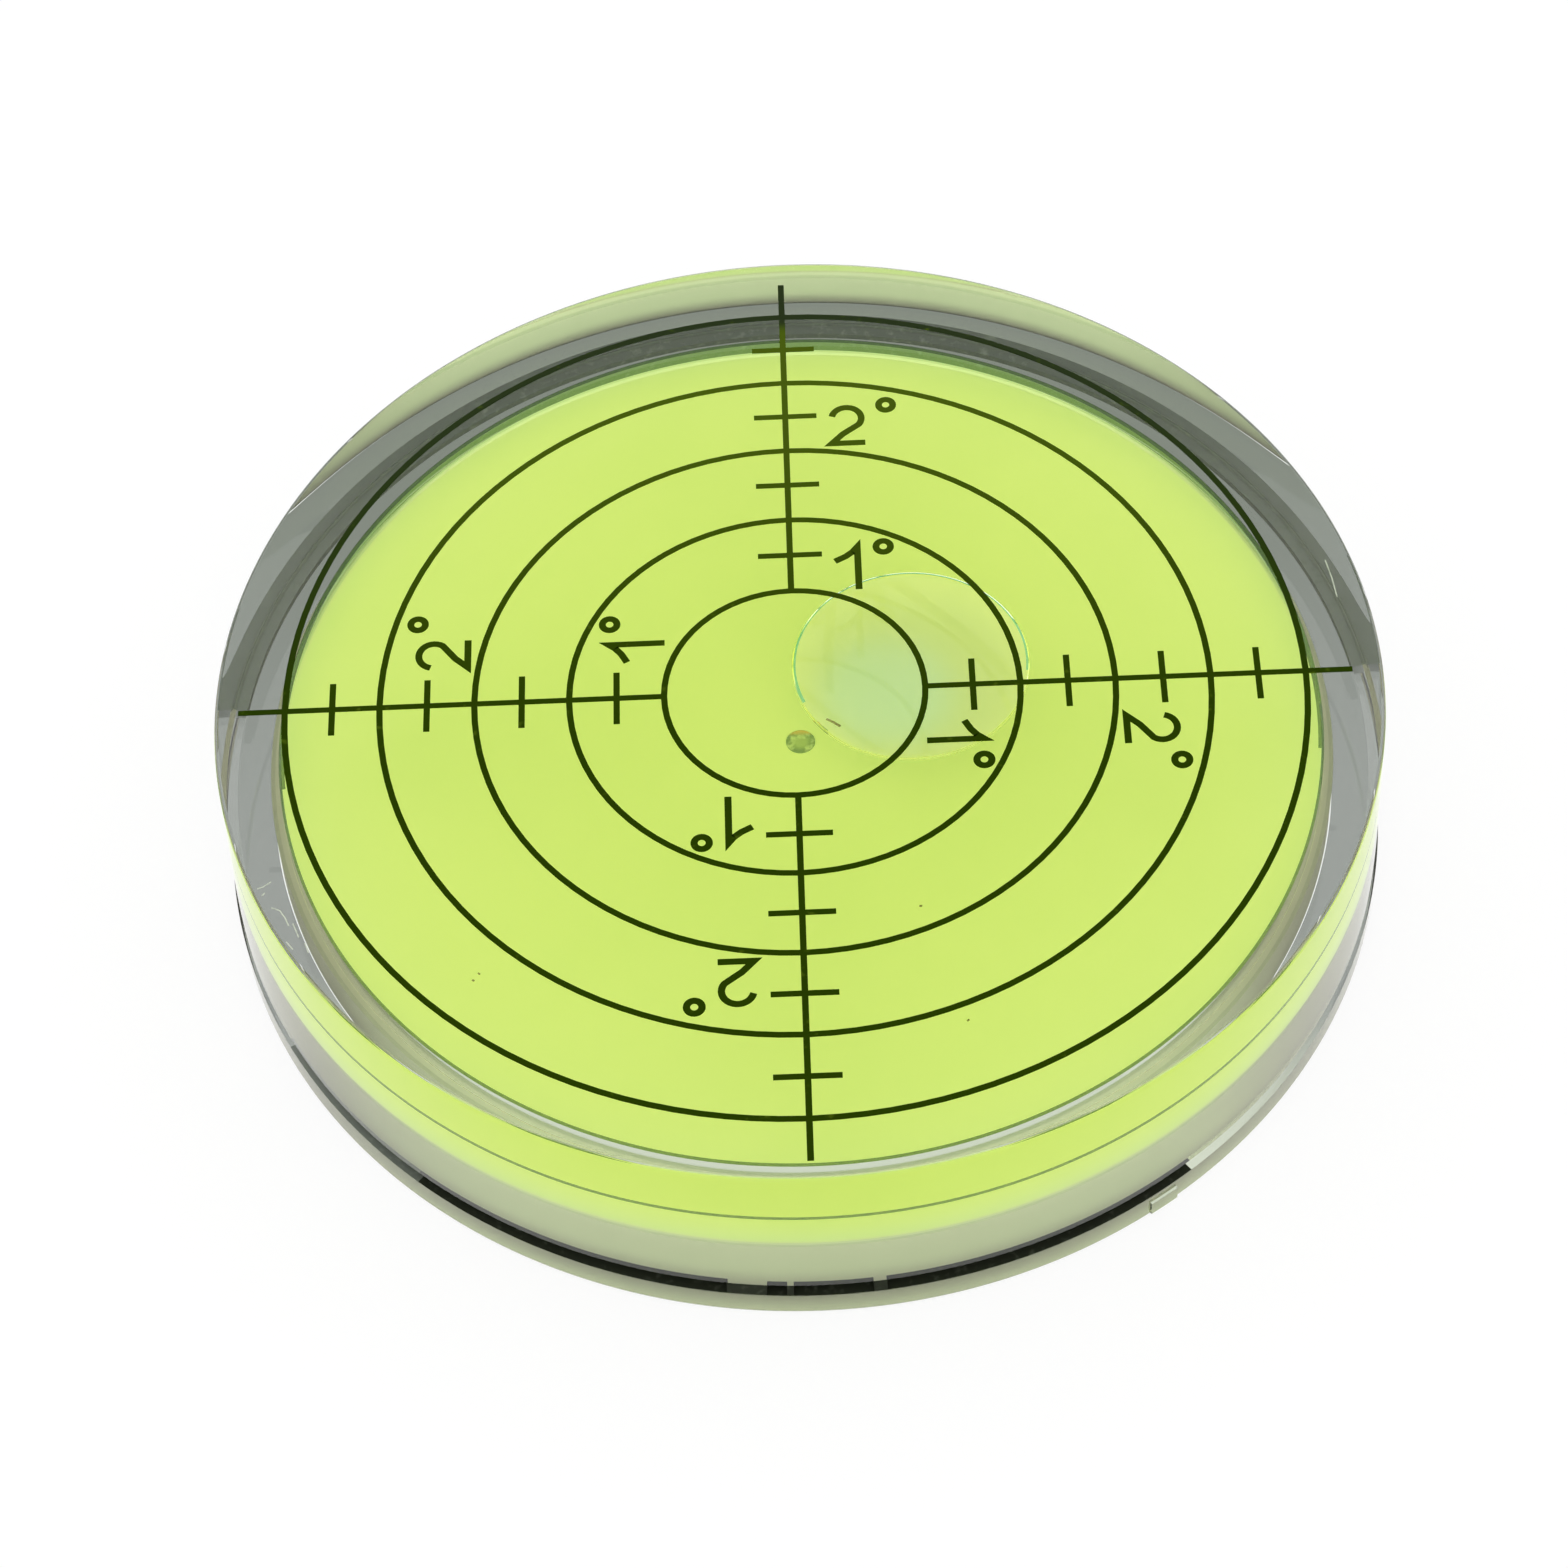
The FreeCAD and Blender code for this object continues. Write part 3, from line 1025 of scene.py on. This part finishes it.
@dataclass
class Numerals:
    """Plain numerals and degree signs of the printed scale, once beside each arm of the cross."""

    print_centre: Point = (-0.2 * MM, -0.3 * MM)
    bottom: float = 12.71 * MM
    top: float = 12.727 * MM
    line_width: float = 0.40 * MM
    cap_height: float = 3.2 * MM
    degree_radius: float = 0.42 * MM
    degree_steps: int = 24
    arm_directions_deg: tuple[int, ...] = (0, 90, 180, 270)
    one_place: Point = (3.30 * MM, 8.90 * MM)
    two_place: Point = (3.61 * MM, 19.91 * MM)
    degree_places: tuple[Point, ...] = ((5.40 * MM, 10.43 * MM), (5.96 * MM, 21.40 * MM))

    def one(self) -> list[Point]:
        """Return the stroke of a numeral one about its centre: flag, then stem."""
        half = self.cap_height / 2
        return [(-0.72 * MM, half - 1.05 * MM), (-0.1 * MM, half - 0.72 * MM), (0.32 * MM, half - 0.38 * MM),
                (0.60 * MM, half - 0.02 * MM), (0.60 * MM, -half)]

    def two(self) -> list[Point]:
        """Return the stroke of a numeral two about its centre: bow, slope, foot."""
        half = self.cap_height / 2 - self.line_width / 2
        bow, widening, bow_angles_deg = 0.86 * MM, 1.02, range(168, -46, -12)
        middle = half - bow
        turned = [math.radians(angle) for angle in bow_angles_deg]
        points = [(bow * widening * math.cos(angle), middle + bow * math.sin(angle)) for angle in turned]
        return points + [(-0.25 * MM, -half + 0.72 * MM), (-0.92 * MM, -half), (1.05 * MM, -half)]

    def ring(self) -> list[Point]:
        """Return the stroke of a degree sign about its centre, closed."""
        radius, steps = self.degree_radius, self.degree_steps
        turned = [math.tau * step / steps for step in range(steps)]
        return [(radius * math.cos(angle), radius * math.sin(angle)) for angle in turned]

    def build(self) -> Object:
        """Lay the numerals beside the four arms.

        Returns:
            The numerals, one thin film of ink.
        """
        one, two = ribbon(self.one(), self.line_width), ribbon(self.two(), self.line_width)
        ring = ribbon(self.ring(), self.line_width, closed=True)
        glyphs = [(one, self.one_place), (two, self.two_place)]
        glyphs += [(ring, place) for place in self.degree_places]
        bm = bmesh.new()
        for direction in self.arm_directions_deg:
            turned = Matrix.Rotation(math.radians(direction - 90), 4, "Z")
            arm = Matrix.Translation((*self.print_centre, self.bottom)) @ turned
            for mesh, place in glyphs:
                lay(bm, mesh, arm @ Matrix.Translation((*place, 0)))
        for mesh in (one, two, ring):
            bpy.data.meshes.remove(mesh)
        piece = as_film(bm, "numerals", self.top - self.bottom)
        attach(piece, "root")
        return piece


@dataclass
class WearMarks:
    """Fine pale scratches near the left edge of the lens, and a few dark specks on it."""

    bottom: float = 12.71 * MM
    thickness: float = 0.006 * MM
    scratch_width: float = 0.07 * MM
    speck_width: float = 0.16 * MM
    scratches_mm: tuple[Stroke, ...] = (
        ((-30.04, -12.66), (-29.72, -12.55), (-29.29, -12.22)),
        ((-29.20, -13.98), (-28.72, -14.20), (-28.42, -14.70), (-28.20, -15.25)),
        ((-27.98, -15.10), (-27.62, -16.05)),
        ((-28.30, -16.30), (-27.90, -16.85)),
        ((-27.27, -16.43), (-27.05, -17.10)),
        ((-29.75, -13.15), (-29.60, -12.95)),
        ((30.48, 7.78), (30.74, 6.40), (30.90, 5.00)))
    specks_mm: tuple[Stroke, ...] = (
        ((-18.10, -19.42), (-18.02, -19.32)), ((-17.80, -18.98), (-17.72, -18.90)),
        ((6.27, -15.52), (6.24, -15.66)), ((8.42, -23.20), (8.50, -23.28)))
    stain_mm: Stroke = ((1.52, -2.38), (1.90, -2.62), (2.30, -2.95))

    def film(self, name: str, strokes: tuple[Stroke, ...], width: float) -> Object:
        """Lay thin strokes on the lens.

        Args:
            name: Name of the piece.
            strokes: The strokes' points, in millimetres.
            width: Width of each stroke.

        Returns:
            The strokes, one thin film.
        """
        bm = bmesh.new()
        for stroke in strokes:
            mesh = ribbon([(x * MM, y * MM) for x, y in stroke], width)
            lay(bm, mesh, Matrix.Translation((0, 0, self.bottom)))
            bpy.data.meshes.remove(mesh)
        piece = as_film(bm, name, self.thickness)
        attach(piece, "root")
        return piece

    def build(self) -> tuple[Object, Object]:
        """Lay the marks.

        Returns:
            The scratches and the specks.
        """
        specks = self.specks_mm + (self.stain_mm,)
        return (self.film("scratches", self.scratches_mm, self.scratch_width),
                self.film("specks", specks, self.speck_width))


@dataclass
class Studio:
    """Pale floor, soft light and the camera, which looks down on the disc as in the photograph."""

    azimuth_deg: float = 0.9534
    elevation_deg: float = 52.4715
    roll_deg: float = -3.0402
    distance: float = 259.40 * MM
    target: Place = (-0.966 * MM, -6.852 * MM, 12.70 * MM)
    lens_mm: float = 107.23
    sensor_mm: float = 36.0
    floor_size: float = 3.0
    floor_gap: float = 0.1 * MM
    floor_color: Color = (0.92, 0.92, 0.92)
    floor_roughness: float = 0.9
    floor_glow: float = 0.85
    white: float = 1.03
    sky: float = 1.0

    def camera(self) -> None:
        """Place the camera at the photograph's viewing angle."""
        azimuth, elevation, roll = (math.radians(angle) for angle in
                                    (self.azimuth_deg, self.elevation_deg, self.roll_deg))
        back = Vector((math.sin(azimuth) * math.cos(elevation),
                       -math.cos(azimuth) * math.cos(elevation), math.sin(elevation)))
        level = Vector((0, 0, 1)).cross(back).normalized()
        upright = back.cross(level)
        right = math.cos(roll) * level + math.sin(roll) * upright
        up = math.cos(roll) * upright - math.sin(roll) * level
        place = Vector(self.target) + back * self.distance
        data = bpy.data.cameras.new("photo_view")
        data.lens = self.lens_mm
        data.sensor_width = self.sensor_mm
        data.clip_start = 1 * MM
        camera = bpy.data.objects.new("photo_view", data)
        camera.matrix_world = Matrix.Translation(place) @ Matrix((right, up, back)).transposed().to_4x4()
        bpy.context.scene.collection.objects.link(camera)
        bpy.context.scene.camera = camera

    def floor(self) -> None:
        """Lay the pale floor, which glows white in glass and keeps the disc's shadow."""
        bm = bmesh.new()
        bmesh.ops.create_grid(bm, x_segments=1, y_segments=1, size=self.floor_size / 2)
        bmesh.ops.translate(bm, verts=bm.verts[:], vec=(0, 0, -self.floor_gap))
        piece = finished(bm, "floor")
        values = {"Base Color": (*self.floor_color, 1), "Roughness": self.floor_roughness,
                  "Specular IOR Level": 0.0}
        material, tree, shader, output = new_material("pale_floor", values)
        paths = tree.add("ShaderNodeLightPath").outputs
        mirrored = tree.compute("MAXIMUM", paths["Is Glossy Ray"], paths["Is Transmission Ray"])
        direct = tree.compute("MULTIPLY", paths["Is Camera Ray"], self.floor_glow)
        white = tree.add("ShaderNodeEmission")
        white.inputs["Strength"].default_value = self.white
        blend = tree.add("ShaderNodeMixShader")
        tree.link(tree.compute("MAXIMUM", mirrored, direct), blend.inputs["Fac"])
        tree.link(shader.outputs["BSDF"], blend.inputs[1])
        tree.link(white.outputs["Emission"], blend.inputs[2])
        tree.link(blend.outputs["Shader"], output.inputs["Surface"])
        dress(piece, material)

    def world(self) -> None:
        """Light the scene with a soft pale dome."""
        world = bpy.data.worlds.new("soft_dome")
        world.use_nodes = True
        bpy.context.scene.world = world
        background = world.node_tree.nodes["Background"]
        background.inputs["Color"].default_value = (1, 1, 1, 1)
        background.inputs["Strength"].default_value = self.sky


def main() -> None:
    """Build and dress the level, then light it."""
    logging.basicConfig(level=logging.INFO, format="%(message)s")
    effects = Effects()
    cavity = Cavity()
    housing = Housing(cavity).build()
    # Painted shade in the groove, darkest at the back, lighter towards the sides.
    painted_shade = GrooveShade(effects, "groove_painted_shade", color=(0.14, 0.16, 0.13), side=(0.30, 0.32, 0.29),
                       grain=(0.24, 0.27, 0.22))
    dress(housing, ClearPlastic(effects).material(), GrooveShade(effects).material(), painted_shade.material())
    liquid = SightLiquid(cavity).build()
    dress(liquid, DyedLiquid().material())
    disc, cement = BaseDisc(cavity).build()
    dress(disc, MilkyPlastic(effects).material())
    dress(cement, ClearCement().material())
    ink = ScaleInk(effects).material()
    numerals = Numerals().build()
    dress(numerals, ink)
    scratches, specks = WearMarks().build()
    pale = MarkTone(effects, "pale_scratch", color=(0.72, 0.78, 0.62), weak=(0.42, 0.47, 0.38))
    dark = MarkTone(effects, "dark_speck", color=(0.20, 0.18, 0.03), weak=(0.36, 0.36, 0.10))
    dress(scratches, pale.material())
    dress(specks, dark.material())
    dress(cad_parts["scale_print"], ink)
    dress(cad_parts["filling_plug"], SealingWax(effects).material())
    for piece in (housing, liquid, disc, cement, numerals, scratches, specks):
        LOG.info("%s: %d faces", piece.name, len(piece.data.polygons))
    studio = Studio()
    studio.floor()
    studio.world()
    studio.camera()
    scene = bpy.context.scene
    scene.view_settings.view_transform = "Standard"
    scene.cycles.max_bounces = CLEAR_BOUNCES
    scene.cycles.transmission_bounces = CLEAR_BOUNCES
    scene.cycles.diffuse_bounces = DULL_BOUNCES


if __name__ == "__main__":
    main()
